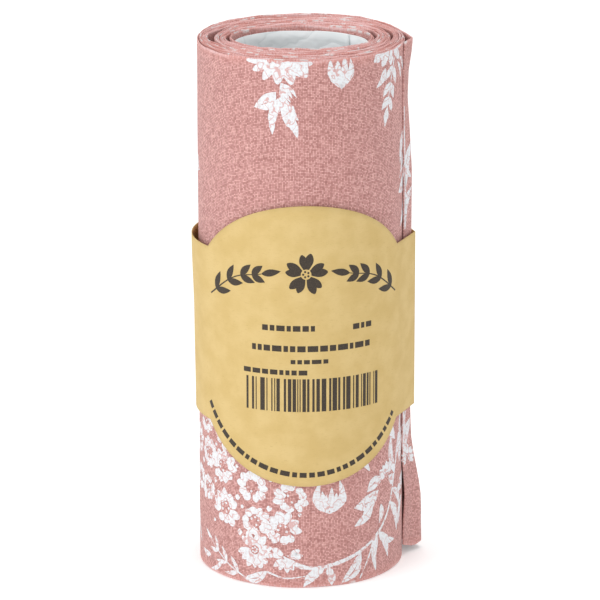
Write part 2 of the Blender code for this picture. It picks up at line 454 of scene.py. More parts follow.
@dataclass(frozen=True)
class BandPath:
    """The line that the paper band follows round the roll, with its round lobe at the front."""

    ribbon: RibbonPath
    width: float = 50.0 * MM
    base: float = 45.0 * MM
    lobe_diameter: float = 80.0 * MM
    lobe_turn: float = 2.5
    thickness: float = 0.25 * MM
    clearance: float = 0.35 * MM
    slack: float = 0.3 * MM
    slack_angle: float = 180.0
    slack_spread: float = 75.0
    lap_angle: float = 30.0
    lap_step: float = 0.95 * MM
    flare: float = 0.70 * MM
    flare_height: float = 26.0 * MM
    flare_angle: float = 190.0
    flare_spread: float = 52.0
    crease_steps: int = 15

    @property
    def round_radius(self) -> float:
        """The distance from the axis to the middle of the paper where the roll is round."""
        ribbon_face = self.ribbon.loose_radius + self.ribbon.least_cloth / 2
        return ribbon_face + self.clearance + self.thickness / 2

    @property
    def middle_height(self) -> float:
        """The height of the middle of the strip and of its lobe."""
        return self.base + self.width / 2

    @property
    def start_angle(self) -> float:
        """Where the inner end of the paper is, at the back."""
        return self.ribbon.crease_angle + 90.0 + self.lap_angle / 2

    @property
    def sweep(self) -> float:
        """How far the paper goes round, with its lap."""
        return 360.0 + self.lap_angle

    @property
    def lobe_angle(self) -> float:
        """Where the middle of the lobe is."""
        return FRONT + self.lobe_turn

    @property
    def notch_angle(self) -> float:
        """How far from the lobe's middle its circle meets the strip."""
        return math.degrees(math.sqrt((self.lobe_diameter**2 - self.width**2) / 4) / self.round_radius)

    def radius(self, angle: float, past_lap: float) -> float:
        """The distance from the axis to the middle of the paper.

        Args:
            angle: The direction from the axis.
            past_lap: How far the outer end has climbed over the inner one, from 0 to 1.

        Returns:
            The distance, which grows over the crease of the loose end and at the slack side.
        """
        ribbon = self.ribbon
        round_radius = self.round_radius + self.slack * hump(angle, self.slack_angle, self.slack_spread)
        shares = [step / self.crease_steps for step in range(self.crease_steps + 1)]
        covered = [share for share in shares if share * ribbon.width >= self.base]
        highest = ribbon.loose_radius + max(through(ribbon.crease_lifts, share) for share in covered)
        corner = highest + ribbon.least_cloth + self.clearance + self.thickness / 2
        reach = math.degrees(math.acos(round_radius / corner))
        away = abs(angle_between(angle, ribbon.crease_angle))
        contour = round_radius / math.cos(math.radians(max(reach - away, 0.0)))
        return contour + self.lap_step * smooth(past_lap)

    def half_height(self, angle: float) -> float:
        """Half the height of the paper, which the lobe makes greater.

        Args:
            angle: The direction from the axis.

        Returns:
            Half the height there.
        """
        from_lobe = math.radians(angle_between(angle, self.lobe_angle)) * self.round_radius
        lobe = self.lobe_diameter / 2
        if abs(from_lobe) >= lobe:
            return self.width / 2
        return max(self.width / 2, math.sqrt(lobe**2 - from_lobe**2))

    def face(self, swept: float, height: float, outward: float) -> Vector:
        """A point off the middle of the paper.

        Args:
            swept: The degrees from the inner end, going clockwise.
            height: The height above the surface that the roll stands on.
            outward: How far it stands off the middle of the paper.

        Returns:
            The point in the frame.
        """
        angle = self.start_angle - swept
        past_lap = (swept - 360.0 + self.lap_angle) / self.lap_angle
        radius = self.radius(angle, past_lap)
        rise = height - self.middle_height
        loose = smooth((rise - self.width / 2 + self.flare_height) / self.flare_height)
        radius += self.flare * loose * hump(angle, self.flare_angle, self.flare_spread)
        tight = 1.0 - smooth((rise + self.width / 2) / self.flare_height)
        radius -= self.slack * tight * hump(angle, self.slack_angle, self.slack_spread)
        return polar(radius + outward, angle, height) + self.ribbon.axis

    def printed_face(self, across: float, up: float, lift: float) -> Vector:
        """A point of the label's face.

        Args:
            across: The distance to the right of the lobe's middle.
            up: The height above the lobe's middle.
            lift: How far the point stands off the paper.

        Returns:
            The point in the frame.
        """
        angle = self.lobe_angle + math.degrees(across / self.round_radius)
        swept = (self.start_angle - angle) % 360.0
        return self.face(swept, self.middle_height + up, self.thickness / 2 + lift)


@dataclass(frozen=True)
class CorePath:
    """The line that the rolled card of the core follows, with its last stretch lapped inside."""

    ribbon: RibbonPath
    base: float
    top: float
    clearance: float = 0.25 * MM
    thickness: float = 0.3 * MM
    lap_angle: float = 40.0
    lap_gap: float = 0.25 * MM
    edge_angle: float = 36.0
    crease: float = 0.32 * MM

    @property
    def sweep(self) -> float:
        """How far the card goes round, with its lap."""
        return 360.0 + self.lap_angle

    def face(self, swept: float, height: float, outward: float) -> Vector:
        """A point off the middle of the card.

        Args:
            swept: The degrees from its outer start, going clockwise.
            height: The height above the surface that the roll stands on.
            outward: How far it stands off the middle of the card.

        Returns:
            The point in the frame.
        """
        angle = self.edge_angle + self.sweep - swept
        sunk = smooth((swept - self.sweep + 2 * self.lap_angle) / self.lap_angle)
        inside = self.ribbon.least_cloth / 2 + self.clearance + self.thickness / 2 + self.crease
        radius = self.ribbon.hollow_radius(angle) - inside - (self.thickness + self.lap_gap) * sunk
        return polar(radius + self.buckle(angle, height) + outward, angle, height) + self.ribbon.axis

    def buckle(self, angle: float, height: float) -> float:
        """The soft creases of hand-rolled card: long slanting dents and a few short kinks.

        Args:
            angle: The direction from the axis.
            height: The height above the surface that the roll stands on.

        Returns:
            How far the card is pushed outwards there.
        """
        turn = math.radians(angle)
        around = Vector((math.cos(turn), math.sin(turn), 0.0))
        long_dents = noise.noise(around * 2.6 + Vector((0.0, 0.0, height * 46.0 + around.x * 0.8)))
        kinks = noise.noise(around * 6.0 + Vector((3.1, 0.0, height * 120.0)))
        folds = abs(noise.noise(around * 3.4 + Vector((0.0, 5.3, height * 60.0))))
        return self.crease * (0.55 * long_dents + 0.40 * kinks + 0.8 * (0.25 - folds))


class Graph:
    """A material's node tree, with a short call for each kind of node that the finishes use."""

    def __init__(self, name: str, roughness: float) -> None:
        """Start a material.

        Args:
            name: The material's name.
            roughness: The roughness of the whole surface.
        """
        self.material = bpy.data.materials.new(name)
        self.material.use_nodes = True
        self.nodes = self.material.node_tree.nodes
        self.links = self.material.node_tree.links
        self.shader = self.nodes["Principled BSDF"]
        self.set("Roughness", roughness)

    def set(self, socket: str, value: float | tuple) -> None:
        """Set a value that is the same all over the surface."""
        self.shader.inputs[socket].default_value = value

    def join(self, source: object, target: bpy.types.NodeSocket) -> None:
        """Link a socket to an input, or write a plain value there.

        Args:
            source: A socket or a value.
            target: The input.
        """
        if isinstance(source, bpy.types.NodeSocket):
            self.links.new(source, target)
        else:
            target.default_value = source

    def node(self, kind: str, inputs: dict, **settings: object) -> bpy.types.Node:
        """Add a node.

        Args:
            kind: The node's type.
            inputs: What goes into its inputs, by name or number.
            settings: The node's own properties.

        Returns:
            The node.
        """
        made = self.nodes.new(kind)
        for name, value in settings.items():
            setattr(made, name, value)
        for name, value in inputs.items():
            self.join(value, made.inputs[name])
        return made

    def math(self, operation: str, first: object, second: object = 0.0) -> bpy.types.NodeSocket:
        """The result of a Math node."""
        return self.node("ShaderNodeMath", {0: first, 1: second}, operation=operation).outputs[0]

    def plus(self, first: object, second: object, share: float) -> bpy.types.NodeSocket:
        """The first value with a share of the second added to it."""
        return self.math("ADD", first, self.math("MULTIPLY", second, share))

    def away_from(self, value: object, middle: float) -> bpy.types.NodeSocket:
        """How far a value is from a middle one, on either side."""
        return self.math("ABSOLUTE", self.math("SUBTRACT", value, middle))

    def sheet_place(self) -> bpy.types.NodeSocket:
        """The place on the flat sheet, in millimetres."""
        return self.node("ShaderNodeUVMap", {}, uv_map=CLOTH_MAP).outputs[0]

    def scaled(self, vector: object, scale: tuple[float, float, float]) -> bpy.types.NodeSocket:
        """A vector with each of its parts multiplied."""
        inputs = {0: vector, 1: scale}
        return self.node("ShaderNodeVectorMath", inputs, operation="MULTIPLY").outputs[0]

    def moved(self, vector: object, offset: object) -> bpy.types.NodeSocket:
        """A vector with another added to it."""
        return self.node("ShaderNodeVectorMath", {0: vector, 1: offset}, operation="ADD").outputs[0]

    def noise(self, vector: object, scale: float, detail: float = 2.0) -> bpy.types.NodeSocket:
        """Smooth noise from 0 to 1."""
        inputs = {"Vector": vector, "Scale": scale, "Detail": detail}
        return self.node("ShaderNodeTexNoise", inputs).outputs[0]

    def between(self, value: object, low: float, high: float) -> bpy.types.NodeSocket:
        """How far a value has gone from low to high, eased, from 0 to 1."""
        inputs = {"Value": value, "From Min": low, "From Max": high}
        return self.node("ShaderNodeMapRange", inputs, interpolation_type="SMOOTHSTEP").outputs[0]

    def mixed(self, share: object, first: object, second: object) -> bpy.types.NodeSocket:
        """A colour between two others.

        Args:
            share: From 0 for the first to 1 for the second.
            first: A colour socket or three numbers.
            second: A colour socket or three numbers.

        Returns:
            The mixed colour.
        """
        mix = self.node("ShaderNodeMix", {}, data_type="RGBA")
        self.join(share, mix.inputs["Factor"])
        for value, target in ((first, mix.inputs[6]), (second, mix.inputs[7])):
            self.join((*value, 1.0) if isinstance(value, tuple) else value, target)
        return mix.outputs[2]

    def tinted(self, colour: object, other: object, where: object, most: float) -> bpy.types.NodeSocket:
        """A colour that goes towards another.

        Args:
            colour: The colour that it starts from.
            other: The colour that it goes towards.
            where: From 0 to 1 over the surface.
            most: How far it goes where that is 1.

        Returns:
            The tinted colour.
        """
        return self.mixed(self.math("MULTIPLY", where, most), colour, other)

    def ramp(self, value: object, stops: Sequence[tuple[float, Colour]]) -> bpy.types.NodeSocket:
        """A colour picked along a ramp.

        Args:
            value: The position along the ramp.
            stops: The ramp's positions, rising, each with its colour.

        Returns:
            The colour.
        """
        made = self.node("ShaderNodeValToRGB", {0: value})
        elements = made.color_ramp.elements
        while len(elements) < len(stops):
            elements.new(0.5)
        for element, (position, colour) in zip(elements, stops):
            element.position = position
            element.color = (*colour, 1.0)
        return made.outputs[0]

    def bump(self, height: object, depth: float, strength: float) -> None:
        """Raise the surface a little in its shading.

        Args:
            height: From 0 to 1 over the surface.
            depth: How far 1 stands up, in metres.
            strength: The share of that which shows.
        """
        inputs = {"Height": height, "Distance": depth, "Strength": strength}
        made = self.node("ShaderNodeBump", inputs)
        self.links.new(made.outputs[0], self.shader.inputs["Normal"])

    def colour(self, value: object) -> None:
        """Give the surface its colour."""
        self.join(value, self.shader.inputs["Base Color"])


@dataclass(frozen=True)
class Weave:
    """A plain weave in the cloth's own millimetres: where each thread crossing is, and how light or dark
    it is, which is painted highlight on the thread crowns and painted shade between them, with random
    specks and slubs.
    """

    pitch: float = 0.44
    wander: float = 0.9
    slub_stretch: float = 0.09
    slub_share: float = 0.17
    thread_share: float = 0.46
    speck_share: float = 0.36

    def build(self, graph: Graph) -> tuple[bpy.types.NodeSocket, ...]:
        """Add the weave's nodes.

        Args:
            graph: The material that gets them.

        Returns:
            The cloth's place in millimetres, the height of the threads, and how light or dark they are:
            painted highlight on their crowns and painted shade between them, made uneven by specks and
            slubs.
        """
        place = graph.sheet_place()
        threads = graph.scaled(place, (1.0 / self.pitch, 1.0 / self.pitch, 0.0))
        drift = {"Vector": threads, "Scale": 0.05, "Detail": 2.0}
        drift = graph.node("ShaderNodeTexNoise", drift).outputs[1]
        threads = graph.moved(threads, graph.scaled(drift, (self.wander, self.wander, 0.0)))
        parts = graph.node("ShaderNodeSeparateXYZ", {0: threads}).outputs
        ridges = [
            graph.math("ABSOLUTE", graph.math("SINE", graph.math("MULTIPLY", part, math.pi)))
            for part in (parts[0], parts[1])
        ]
        height = graph.math("MULTIPLY", ridges[0], ridges[1])
        crossing = graph.node("ShaderNodeVectorMath", {0: threads}, operation="FLOOR").outputs[0]
        speck = graph.node("ShaderNodeTexWhiteNoise", {"Vector": crossing}, noise_dimensions="2D")
        speck = speck.outputs[0]
        weft = graph.noise(graph.scaled(threads, (self.slub_stretch, 1.0, 0.0)), 1.0, 1.0)
        warp = graph.noise(graph.scaled(threads, (1.0, self.slub_stretch, 0.0)), 1.0, 1.0)
        # painted light: lighter with the thread height, so the crowns get painted highlight and the
        # hollows between threads painted shade; specks and slubs add random variation
        shaded_tone = graph.plus(graph.math("MULTIPLY", height, self.thread_share), speck, self.speck_share)
        return place, height, graph.plus(shaded_tone, graph.math("ADD", weft, warp), self.slub_share)


@dataclass(frozen=True)
class CottonFinish:
    """Old-rose cotton canvas with painted shade and highlight in its weave, and rims that are paler in
    stretches as painted highlight on the wound layers' top edges, which the white print touches here and
    there.
    """

    # the ramp's shade and light ends: painted shade between the threads and painted highlight on their
    # crowns
    shade: Colour = (0.28, 0.110, 0.098)
    body: Colour = (0.61, 0.298, 0.275)
    light: Colour = (0.92, 0.600, 0.570)
    edge: Colour = (0.69, 0.300, 0.262)
    # painted highlight colour for the rims of the wound layers
    rim_highlight: Colour = (0.90, 0.640, 0.640)
    ink: Colour = (0.82, 0.80, 0.80)
    width: float = 150.0
    rim_width: float = 0.9
    fold_width: float = 3.2
    roughness: float = 0.93
    gloss: float = 0.18
    sheen: float = 0.22
    sheen_roughness: float = 0.55
    sheen_tint: Colour = (1.0, 0.86, 0.84)
    thread_depth: float = 0.16 * MM
    weave: Weave = Weave()

    def material(self) -> bpy.types.Material:
        """Build the finish.

        Returns:
            The finished material.
        """
        graph = Graph("cotton_canvas", self.roughness)
        graph.set("Specular IOR Level", self.gloss)
        graph.set("Sheen Weight", self.sheen)
        graph.set("Sheen Roughness", self.sheen_roughness)
        graph.set("Sheen Tint", (*self.sheen_tint, 1.0))
        place, height, shaded_tone = self.weave.build(graph)
        # painted shade and painted highlight of the weave, from the thread height
        cloth = graph.ramp(shaded_tone, ((0.22, self.shade), (0.56, self.body), (0.92, self.light)))
        cloth = graph.tinted(cloth, self.body, graph.noise(place, 0.055, 2.0), 0.25)
        half = self.width / 2
        from_middle = graph.away_from(graph.node("ShaderNodeSeparateXYZ", {0: place}).outputs[1], half)
        rim = graph.between(from_middle, half - self.rim_width, half - 0.1)
        near_edge = graph.between(from_middle, half - self.fold_width, half)
        cloth = graph.tinted(cloth, self.edge, near_edge, 0.35)
        ends = graph.noise(graph.scaled(place, (2.2, 0.4, 0.0)), 1.0, 2.0)
        turn = graph.noise(graph.scaled(place, (0.045, 0.0, 0.0)), 1.0, 2.0)
        uneven = graph.plus(graph.math("MULTIPLY", ends, 0.45), turn, 0.55)
        # the rims alternate at random between the edge colour and painted highlight on the layers' top
        # edges
        highlit_rim = graph.mixed(graph.between(uneven, 0.42, 0.62), self.edge, self.rim_highlight)
        cloth = graph.tinted(cloth, highlit_rim, rim, 0.8)
        flecks = graph.noise(graph.scaled(place, (0.20, 0.01, 0.0)), 1.0, 2.5)
        inked = graph.math("MULTIPLY", rim, graph.between(flecks, 0.60, 0.655))
        graph.colour(graph.tinted(cloth, self.ink, inked, 0.85))
        graph.bump(graph.plus(height, ends, 0.3), self.thread_depth, 0.75)
        return graph.material


@dataclass(frozen=True)
class FabricInkFinish:
    """White pigment printed on the canvas, thin enough for the threads to show, and greyed in the
    weave's hollows as painted shade.

    Fine veins are left bare in it, as in a print cut by hand.
    """

    white: Colour = (0.80, 0.83, 0.86)
    # grey-pink where thin ink lets the threads show, with the weave's painted shade in the hollows
    thin_ink_and_shade: Colour = (0.66, 0.56, 0.56)
    bare: Colour = (0.64, 0.34, 0.32)
    vein_width: float = 0.028
    vein_fineness: float = 0.33
    roughness: float = 0.85
    gloss: float = 0.25
    thread_depth: float = 0.10 * MM
    weave: Weave = Weave()

    def material(self) -> bpy.types.Material:
        """Build the finish.

        Returns:
            The finished material.
        """
        graph = Graph("white_fabric_ink", self.roughness)
        graph.set("Specular IOR Level", self.gloss)
        place, height, shaded_tone = self.weave.build(graph)
        # greyer where the weave is low: the threads showing through thin ink, and painted shade in the
        # hollows between threads
        ink = graph.mixed(graph.between(shaded_tone, 0.52, 0.26), self.white, self.thin_ink_and_shade)
        off_vein = graph.away_from(graph.noise(place, self.vein_fineness, 1.5), 0.5)
        vein = graph.between(off_vein, self.vein_width, 0.25 * self.vein_width)
        graph.colour(graph.tinted(ink, self.bare, vein, 0.8))
        graph.bump(height, self.thread_depth, 0.5)
        return graph.material


@dataclass(frozen=True)
class KraftFinish:
    """Yellow-brown kraft paper with faint fibres and clouds."""

    body: Colour = (0.60, 0.430, 0.168)
    pale: Colour = (0.66, 0.488, 0.212)
    fibre: Colour = (0.50, 0.345, 0.125)
    roughness: float = 0.72
    gloss: float = 0.3
    fibre_depth: float = 0.05 * MM

    def material(self) -> bpy.types.Material:
        """Build the finish.

        Returns:
            The finished material.
        """
        graph = Graph("kraft_paper", self.roughness)
        graph.set("Specular IOR Level", self.gloss)
        place = graph.sheet_place()
        clouds = graph.noise(place, 0.16, 4.0)
        colour = graph.mixed(graph.between(clouds, 0.30, 0.72), self.body, self.pale)
        hairs = graph.noise(graph.scaled(place, (0.7, 3.4, 0.0)), 1.0, 3.0)
        colour = graph.tinted(colour, self.fibre, graph.between(hairs, 0.56, 0.78), 0.55)
        specks = graph.between(graph.noise(place, 2.6, 1.0), 0.68, 0.76)
        graph.colour(graph.tinted(colour, self.fibre, specks, 0.5))
        rough = graph.noise(place, 1.1, 4.0)
        graph.bump(graph.plus(rough, hairs, 0.5), self.fibre_depth, 0.6)
        return graph.material


@dataclass(frozen=True)
class LabelInkFinish:
    """Dark brown printer's ink on kraft paper."""

    ink: Colour = (0.026, 0.016, 0.008)
    thin: Colour = (0.060, 0.040, 0.020)
    roughness: float = 0.55
    grain_depth: float = 0.02 * MM

    def material(self) -> bpy.types.Material:
        """Build the finish.

        Returns:
            The finished material.
        """
        graph = Graph("label_ink", self.roughness)
        place = graph.sheet_place()
        grain = graph.noise(place, 3.0, 2.0)
        graph.colour(graph.mixed(graph.between(grain, 0.40, 0.75), self.ink, self.thin))
        graph.bump(grain, self.grain_depth, 0.4)
        return graph.material


@dataclass(frozen=True)
class CardFinish:
    """Cool white uncoated card, a little grey along its creases, which is painted shade."""

    body: Colour = (0.76, 0.80, 0.81)
    pale: Colour = (0.85, 0.87, 0.88)
    # painted shade colour for the crease lines
    crease: Colour = (0.56, 0.60, 0.61)
    roughness: float = 0.7
    crease_depth: float = 0.35 * MM

    def material(self) -> bpy.types.Material:
        """Build the finish.

        Returns:
            The finished material.
        """
        graph = Graph("white_card", self.roughness)
        place = graph.sheet_place()
        clouds = graph.noise(place, 0.09, 3.0)
        pulp = graph.noise(place, 1.9, 3.0)
        colour = graph.mixed(graph.between(clouds, 0.3, 0.7), self.body, self.pale)
        bends = graph.noise(graph.scaled(place, (0.10, 0.20, 0.0)), 1.0, 1.5)
        off_line = graph.away_from(bends, 0.5)
        # darkens the card along the crease lines: painted shade where the creases hold shadow
        graph.colour(graph.tinted(colour, self.crease, graph.between(off_line, 0.030, 0.0), 0.35))
        dented = graph.between(off_line, 0.0, 0.14)
        graph.bump(graph.plus(dented, pulp, 0.12), self.crease_depth, 0.5)
        return graph.material


@dataclass(frozen=True)
class GlueFinish:
    """A dried line of amber glue, shiny and a little streaky."""

    amber: Colour = (0.62, 0.50, 0.26)
    pale: Colour = (0.78, 0.70, 0.48)
    roughness: float = 0.32
    streak_depth: float = 0.03 * MM

    def material(self) -> bpy.types.Material:
        """Build the finish.

        Returns:
            The finished material.
        """
        graph = Graph("dry_glue", self.roughness)
        place = graph.node("ShaderNodeTexCoord", {}).outputs["Object"]
        streaks = graph.noise(graph.scaled(place, (900.0, 900.0, 120.0)), 1.0, 2.0)
        graph.colour(graph.mixed(graph.between(streaks, 0.35, 0.65), self.amber, self.pale))
        graph.bump(streaks, self.streak_depth, 0.6)
        return graph.material


@dataclass(frozen=True)
class FloorFinish:
    """A plain pale studio floor, which glows a little like a lit sweep."""

    pale: Colour = (0.93, 0.93, 0.93)
    glow: float = 0.22
    roughness: float = 0.9

    def material(self) -> bpy.types.Material:
        """Build the finish.

        Returns:
            The finished material.
        """
        graph = Graph("studio_floor", self.roughness)
        graph.set("Specular IOR Level", 0.0)
        graph.set("Emission Color", (1.0, 1.0, 1.0, 1.0))
        graph.set("Emission Strength", self.glow)
        graph.colour((*self.pale, 1.0))
        return graph.material


def new_object(name: str, mesh: bpy.types.Mesh, material: bpy.types.Material) -> bpy.types.Object:
    """Link a mesh into the scene.

    Args:
        name: The object's name.
        mesh: Its mesh.
        material: Its finish.

    Returns:
        The object, shaded smooth.
    """
    mesh.materials.append(material)
    mesh.shade_smooth()
    made = bpy.data.objects.new(name, mesh)
    bpy.context.scene.collection.objects.link(made)
    return made


def map_cloth(mesh: bpy.types.Mesh, flat: np.ndarray) -> None:
    """Give a mesh its flat places in millimetres as a UV map.

    Args:
        mesh: The mesh.
        flat: Two numbers for each of its vertices.
    """
    corners = np.empty(len(mesh.loops), np.int32)
    mesh.loops.foreach_get("vertex_index", corners)
    layer = mesh.uv_layers.new(name=CLOTH_MAP)
    layer.uv.foreach_set("vector", flat[corners].astype(np.float32).ravel())


@dataclass
class SheetBuilder:
    """Sweeps a closed sheet with rounded edges: its outer face, its inner face and its rims."""

    name: str
    material: bpy.types.Material
    rim_share: float = 0.35
    rings: list[list[Vector]] = field(default_factory=list)
    flat: list[Point] = field(default_factory=list)

    def add_ring(
        self, outer: list[Vector], inner: list[Vector], along: float, heights: list[float]
    ) -> None:
        """Add a section across the sheet.

        Args:
            outer: The points of its outer face, from the lower edge to the upper.
            inner: The points of its inner face, in the same order.
            along: The distance along the flat sheet.
            heights: The flat height of each row.
        """
        bulge = Vector((0.0, 0.0, (outer[0] - inner[0]).length * self.rim_share))
        top = (outer[-1] + inner[-1]) / 2 + bulge
        foot = (outer[0] + inner[0]) / 2 - bulge
        self.rings.append([*outer, top, *reversed(inner), foot])
        levels = [*heights, heights[-1], *reversed(heights), heights[0]]
        self.flat.extend((along / MM, level / MM) for level in levels)

    def build(self) -> bpy.types.Object:
        """Join the sections.

        Returns:
            The sheet as an object, closed at both ends.
        """
        around = len(self.rings[0])
        rows = around // 2 - 1
        faces = []
        for ring in range(len(self.rings) - 1):
            for place in range(around):
                after = (place + 1) % around
                base, next_base = ring * around, (ring + 1) * around
                faces.append((base + place, base + after, next_base + after, next_base + place))
        for base, turned in ((0, True), ((len(self.rings) - 1) * around, False)):
            cap = [(row, row + 1, around - 3 - row, around - 2 - row) for row in range(rows - 1)]
            cap += [(rows - 1, rows, rows + 1), (around - 2, around - 1, 0)]
            for face in cap:
                corners = tuple(base + corner for corner in face)
                faces.append(tuple(reversed(corners)) if turned else corners)
        mesh = bpy.data.meshes.new(self.name)
        mesh.from_pydata([point for ring in self.rings for point in ring], [], faces)
        mesh.validate()
        bm = bmesh.new()
        bm.from_mesh(mesh)
        bmesh.ops.recalc_face_normals(bm, faces=bm.faces)
        bm.to_mesh(mesh)
        bm.free()
        map_cloth(mesh, np.array(self.flat))
        return new_object(self.name, mesh, self.material)


def curve_through(points: Sequence[Point], steps: int) -> list[Point]:
    """A smooth curve through flat points.

    Args:
        points: The points that it passes.
        steps: How many pieces it is cut into.

    Returns:
        The curve's points, one more than steps.
    """
    ends = [np.array(point, float) for point in points]
    if len(ends) == 2:
        return [tuple(ends[0] + (ends[1] - ends[0]) * step / steps) for step in range(steps + 1)]
    padded = [2 * ends[0] - ends[1], *ends, 2 * ends[-1] - ends[-2]]
    found = []
    for step in range(steps + 1):
        place = step / steps * (len(ends) - 1)
        index = min(int(place), len(ends) - 2)
        part = place - index
        a, b, c, d = padded[index : index + 4]
        point = 2 * b + (c - a) * part + (2 * a - 5 * b + 4 * c - d) * part**2
        point = point + (3 * b - a - 3 * c + d) * part**3
        found.append(tuple(point / 2))
    return found


@dataclass
class Pen:
    """Draws flat strokes in millimetres and lays them on a sheet as one thin closed mesh."""

    cell: float = 1.1
    cell_shape: float = 1.3
    leaf_pieces: int = 8
    stem_pieces: int = 4
    unevenness: float = 0.32
    shift: float = 0.0
    points: list[Point] = field(default_factory=list)
    faces: list[tuple[int, ...]] = field(default_factory=list)

    def stroke(self, spine: Sequence[Point], half_width: float, outline: Outline) -> None:
        """Draw one stroke.

        Args:
            spine: The points that its middle line passes.
            half_width: Its greatest half width.
            outline: How the width changes along it.
        """
        length = sum(math.dist(a, b) for a, b in zip(spine, spine[1:]))
        least = 1 if outline is Outline.BAR else self.stem_pieces
        along = max(least, math.ceil(length / self.cell))
        if outline in (Outline.LEAF, Outline.PETAL):
            along = max(along, self.leaf_pieces)
        across = max(1, math.ceil(2 * half_width / self.cell / self.cell_shape))
        line = curve_through([(x + self.shift, y) for x, y in spine], along)
        first = len(self.points)
        for index, (x, y) in enumerate(line):
            before, after = line[max(index - 1, 0)], line[min(index + 1, along)]
            run, rise = after[0] - before[0], after[1] - before[1]
            size = math.hypot(run, rise)
            half = half_width * outline.half_width(index / along)
            half *= 1.0 + self.unevenness * noise.noise(Vector((x * 0.9, y * 0.9, first * 0.37)))
            for step in range(across + 1):
                off = half * (2 * step / across - 1.0)
                self.points.append((x - rise / size * off, y + run / size * off))
        for index in range(along):
            for step in range(across):
                corner = first + index * (across + 1) + step
                self.faces.append((corner, corner + 1, corner + across + 2, corner + across + 1))

    def leaf(self, start: Point, end: Point, half_width: float, bend: float = 0.12) -> None:
        """A pointed leaf, bent to one side by a share of its length."""
        middle = self.beside(start, end, bend)
        self.stroke((start, middle, end), half_width, Outline.LEAF)

    def veined_leaf(self, start: Point, end: Point, half_width: float, bend: float = 0.12) -> None:
        """A broad leaf drawn as two halves with a bare rib between them.

        Args:
            start: Its foot.
            end: Its tip.
            half_width: Its greatest half width.
            bend: How far it bends to one side, as a share of its length.
        """
        for side in (-1.0, 1.0):
            run, rise = end[0] - start[0], end[1] - start[1]
            size = math.hypot(run, rise)
            off = side * (half_width * 0.53 + 0.12)
            middle = self.beside(start, end, bend)
            middle = (middle[0] - rise / size * off, middle[1] + run / size * off)
            self.stroke((start, middle, end), half_width * 0.52, Outline.LEAF)

    @staticmethod
    def beside(start: Point, end: Point, bend: float) -> Point:
        """The point beside the middle of a line, off it by a share of the line's length."""
        run, rise = end[0] - start[0], end[1] - start[1]
        return (start[0] + end[0]) / 2 - rise * bend, (start[1] + end[1]) / 2 + run * bend

    @staticmethod
    def away(start: Point, angle: float, distance: float) -> Point:
        """The point at an angle and a distance from another."""
        turn = math.radians(angle)
        return start[0] + distance * math.cos(turn), start[1] + distance * math.sin(turn)

    def petal(self, centre: Point, angle: float, inner: float, outer: float, half_width: float) -> None:
        """A petal of two broad lobes with a fine bare line between them.

        Args:
            centre: The flower's middle.
            angle: Where the petal points.
            inner: How far from the middle it starts.
            outer: How far from the middle it ends.
            half_width: Its greatest half width.
        """
        for turn, reach, share in ((-1.0, 1.0, 0.50), (1.0, 0.94, 0.46)):
            lobe_angle = angle + turn * math.degrees(half_width * 0.54 / outer)
            start = self.away(centre, angle + (lobe_angle - angle) * 0.8, inner)
            end = self.away(centre, lobe_angle, outer * reach)
            self.stroke((start, end), half_width * share, Outline.PETAL)

    def dot(self, centre: Point, radius: float) -> None:
        """A small round dot."""
        ends = (self.away(centre, 180.0, radius), self.away(centre, 0.0, radius))
        self.stroke(ends, radius, Outline.LEAF)

    def blossom(self, centre: Point, radius: float, turns: Iterable[float]) -> None:
        """An open flower with a few stamens.

        Args:
            centre: Its middle.
            radius: The reach of its petals.
            turns: The angle of each petal.
        """
        turns = list(turns)
        for angle in turns:
            self.petal(centre, angle, radius * 0.24, radius, radius * 0.40)
            self.dot(self.away(centre, angle + 18.0, radius * 0.13), radius * 0.055)

    def rosette(self, centre: Point, radius: float, turn: float) -> None:
        """A small flower of five uneven, curled petals round a loose ring of stamens.

        Args:
            centre: Its middle.
            radius: The reach of its petals.
            turn: The angle of its first petal.
        """
        rng = random.Random(round(centre[0] * 7 + centre[1] * 13))
        for petal in range(5):
            angle = turn + petal * 72.0 + rng.uniform(-7.0, 7.0)
            reach = radius * rng.uniform(0.86, 1.1)
            for side, share in ((-1.0, rng.uniform(0.20, 0.27)), (1.0, rng.uniform(0.20, 0.27))):
                start = self.away(centre, angle + side * 12.0, radius * rng.uniform(0.30, 0.46))
                end = self.away(centre, angle + side * 18.0, reach * rng.uniform(0.92, 1.0))
                self.stroke((start, end), radius * share, Outline.PETAL)
            if rng.random() < 0.7:
                self.dot(self.away(centre, angle + 36.0, radius * 0.24), radius * 0.075)

    def tulip(self, foot: Point, angle: float, height: float, half_width: float) -> None:
        """A closed flower of overlapping pointed petals that open away from its foot.

        Args:
            foot: Where it joins its stem.
            angle: Where it points.
            height: Its height.
            half_width: Its half width.
        """
        for turn, reach in ((-1.0, 0.92), (-0.34, 1.0), (0.30, 0.86), (0.95, 1.0)):
            tip_angle = angle + math.degrees(turn * half_width * 0.86 / height)
            belly_angle = angle + math.degrees(turn * half_width * 1.5 / height)
            tip = self.away(foot, tip_angle, height * reach)
            middle = self.away(foot, belly_angle, height * 0.55)
            self.stroke((foot, middle, tip), half_width * 0.27, Outline.LEAF)

